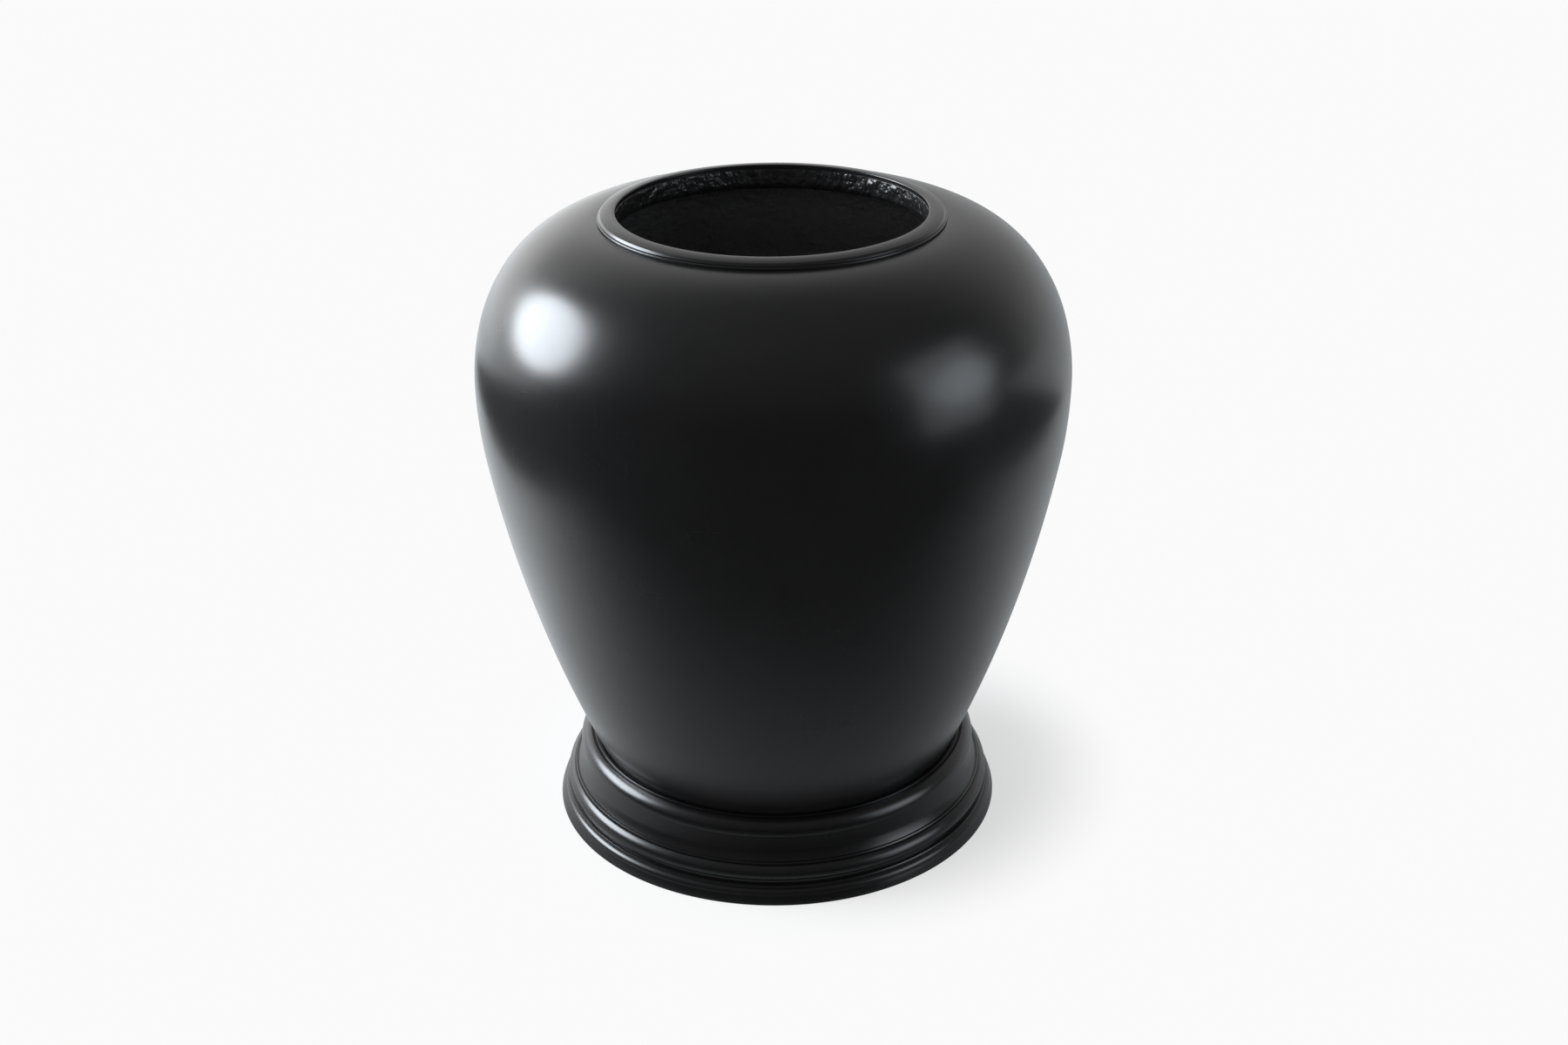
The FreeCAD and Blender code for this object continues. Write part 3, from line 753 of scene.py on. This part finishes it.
# Dark sheets lying on the floor that only the glaze sees, in front where the camera stands, to the
# left and to the right: painted shade on the floor in the glaze
cards = [
    {"name": "front_card", "size": (80.0, 40.0), "place": (0.0, -20.37, 0.004),
     "low": (0.02, 0.02, 0.02, 1), "high": (0.03, 0.03, 0.03, 1)},
    {"name": "left_card", "size": (40.0, 1.39), "place": (-20.66, 0.325, 0.004),
     "low": (0.03, 0.03, 0.03, 1), "high": (0.04, 0.04, 0.04, 1)},
    {"name": "right_card", "size": (40.0, 1.02), "place": (20.76, 0.14, 0.004),
     "low": (0.075, 0.075, 0.075, 1), "high": (0.095, 0.095, 0.095, 1)},
]


def makeCard(settings):
    clearSelection()
    bpy.ops.mesh.primitive_plane_add(size=1.0, location=(0, 0, 0))
    card = bpy.context.object
    card.name = settings["name"]
    card.scale = (*settings["size"], 1)
    card.location = settings["place"]
    material, tree, place, out = newMaterial(settings["name"])
    # the sheet's dark colour is painted shade
    sheetMottle = addNode(tree, "ShaderNodeTexNoise", 1, 0, {"Vector": place, "Scale": 60.0})
    colour = mixColours(tree, 2, 0, sheetMottle.outputs["Fac"], settings["low"], settings["high"])
    shadeSheet = addNode(tree, "ShaderNodeBsdfDiffuse", 3, 0, {"Color": colour})
    tree.links.new(shadeSheet.outputs["BSDF"], out.inputs["Surface"])
    card.data.materials.append(material)
    card.visible_camera = False
    card.visible_diffuse = False
    card.visible_transmission = False
    card.visible_shadow = False


for card in cards:
    makeCard(card)

# Soft boxes: a strong round one on the left, a weak one on the right with a soft surround,
# and a dim panel behind
lamps = [
    {"name": "left_soft_box", "shape": "ELLIPSE", "size": (1.24, 1.05), "radiance": 13.0,
     "colour": (0.93, 1.0, 1.07), "place": (-1.6, 0.36, 0.98), "aim": (-0.17, -0.07, 0.36)},
    {"name": "back_panel", "shape": "RECTANGLE", "size": (1.9, 1.3), "radiance": 0.5,
     "colour": (1.0, 1.0, 1.0), "place": (-1.15, 1.95, 0.5), "aim": (0.0, 0.0, 0.25)},
    {"name": "right_soft_box", "shape": "ELLIPSE", "size": (0.9, 0.66), "radiance": 1.45,
     "colour": (0.93, 1.0, 1.07), "place": (1.66, -0.52, 0.74), "aim": (0.17, -0.09, 0.34)},
    {"name": "right_soft_surround", "shape": "RECTANGLE", "size": (1.06, 1.3), "radiance": 1.0,
     "colour": (0.93, 1.0, 1.07), "place": (1.7, -0.69, 0.78), "aim": (0.17, -0.09, 0.34)},
]


def makeLamp(settings):
    light = bpy.data.lights.new(settings["name"], "AREA")
    light.shape = settings["shape"]
    light.size, light.size_y = settings["size"]
    area = light.size * light.size_y
    if light.shape == "ELLIPSE":
        area *= math.pi / 4
    light.energy = settings["radiance"] * math.pi * area
    light.color = settings["colour"]
    lamp = bpy.data.objects.new(settings["name"], light)
    bpy.context.scene.collection.objects.link(lamp)
    lamp.location = settings["place"]
    way = Vector(settings["aim"]) - Vector(settings["place"])
    lamp.rotation_euler = way.to_track_quat("-Z", "Y").to_euler()
    lamp.visible_camera = False


for lamp in lamps:
    makeLamp(lamp)

# The room: plain grey light for all that is lit by it, and for the eye and the glaze a
# white wall behind that falls off to a dark ceiling and a dark camera side
room = {
    "light": (0.95, 0.3),  # left and right, across this span
    "lightSpan": (-0.8, 0.8),
    "wall": 0.956,
    "back": (1.3, 0.64),
    "backSpan": (-0.5, 0.3),
    "cameraSide": 0.01,
    "depthSpan": (-0.02, 0.75),
    "ceiling": 0.15,
    "riseSpan": (0.1, 1.0),
}


def makeRoom(settings):
    world = bpy.data.worlds.new("studio_room")
    bpy.context.scene.world = world
    world.use_nodes = True
    tree = world.node_tree
    tree.nodes.clear()
    way = addNode(tree, "ShaderNodeTexCoord", 0, 0).outputs["Generated"]
    axes = addNode(tree, "ShaderNodeSeparateXYZ", 1, 0, {0: way})
    across = fadeValue(tree, 2, 0, axes.outputs["X"], settings["backSpan"], settings["back"])
    depth = fadeValue(tree, 3, 1, axes.outputs["Y"], settings["depthSpan"],
                      (settings["cameraSide"], across))
    rise = addNode(tree, "ShaderNodeMapRange", 4, 2, {
        "Value": axes.outputs["Z"], "To Min": depth, "To Max": settings["ceiling"],
        "From Min": settings["riseSpan"][0], "From Max": settings["riseSpan"][1]})
    side = fadeValue(tree, 2, 3, axes.outputs["X"], settings["lightSpan"], settings["light"])
    seenRoom = addNode(tree, "ShaderNodeBackground", 5, 0, {
        "Color": (1, 1, 1, 1), "Strength": rise.outputs["Result"]})
    wall = addNode(tree, "ShaderNodeBackground", 5, 1, {
        "Color": (1, 1, 1, 1), "Strength": settings["wall"]})
    light = addNode(tree, "ShaderNodeBackground", 5, 2, {"Color": (1, 1, 1, 1), "Strength": side})
    rays = addNode(tree, "ShaderNodeLightPath", 4, -3)
    glazed = addNode(tree, "ShaderNodeMixShader", 6, 0, {
        "Fac": seenInGlaze(tree, 5, -3, rays), 1: light.outputs[0], 2: seenRoom.outputs[0]})
    toEye = addNode(tree, "ShaderNodeMixShader", 7, 0, {
        "Fac": rays.outputs["Is Camera Ray"], 1: glazed.outputs[0], 2: wall.outputs[0]})
    addNode(tree, "ShaderNodeOutputWorld", 8, 0, {"Surface": toEye.outputs[0]})


makeRoom(room)
print("floor, cards, lamps and room set")

# The camera, at the place and angles solved from the photograph's circles and outline
camera = {
    "place": (0.0, -1.32689, 0.84935),
    "turn": (64.4837, 0.3806, -0.4631),
    "lens": 46.978,
    "sensor": 36.0,
}
turn = [math.radians(angle) for angle in camera["turn"]]
bpy.ops.object.camera_add(location=camera["place"], rotation=turn)
eye = bpy.context.object
eye.name = "photo_camera"
eye.data.sensor_fit = "HORIZONTAL"
eye.data.sensor_width = camera["sensor"]
eye.data.lens = camera["lens"]
bpy.context.scene.camera = eye
bpy.context.scene.view_settings.view_transform = "Standard"

print("camera set")
